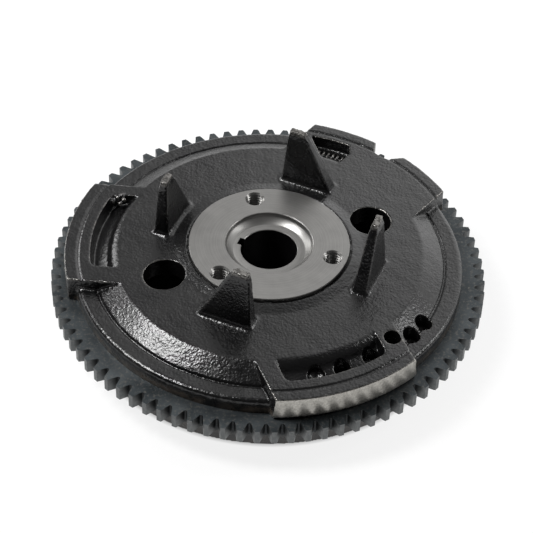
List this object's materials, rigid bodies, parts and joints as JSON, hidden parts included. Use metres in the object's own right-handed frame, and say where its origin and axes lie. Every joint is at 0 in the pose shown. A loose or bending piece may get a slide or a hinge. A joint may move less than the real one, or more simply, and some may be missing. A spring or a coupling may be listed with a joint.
{
  "type": "flywheel",
  "caption": "Cast flywheel for a small engine with a shrunk-on starter ring gear, fan drive fins, a keyed taper bore and alternator magnets in its skirt.",
  "frame": {"origin": "crankshaft axis, in the plane of the skirt's lower edge on which the flywheel rests", "axes": "+Z along the crankshaft axis toward the fan side; -Y toward the machined rim segment side as pictured; right-handed"},
  "size_m": [0.221, 0.221, 0.0724],
  "materials": {
    "black_casting": "grey iron casting in satin black paint, turned bare on the hub face, bore and front rim segment",
    "gear_steel": "hobbed steel band with a dark grey-blue heat-treated skin",
    "cage_plastic": "moulded glass-filled nylon, matte black",
    "ferrite": null
  },
  "bodies": {
    "root": {"flywheel_body": "black_casting", "ring_gear": "gear_steel", "magnet_cage": "cage_plastic", "magnet_01": "ferrite", "magnet_02": "ferrite", "magnet_03": "ferrite", "magnet_04": "ferrite", "magnet_05": "ferrite", "magnet_06": "ferrite", "magnet_07": "ferrite", "magnet_08": "ferrite", "magnet_09": "ferrite", "magnet_10": "ferrite", "magnet_11": "ferrite", "magnet_12": "ferrite"}
  },
  "joints": []
}
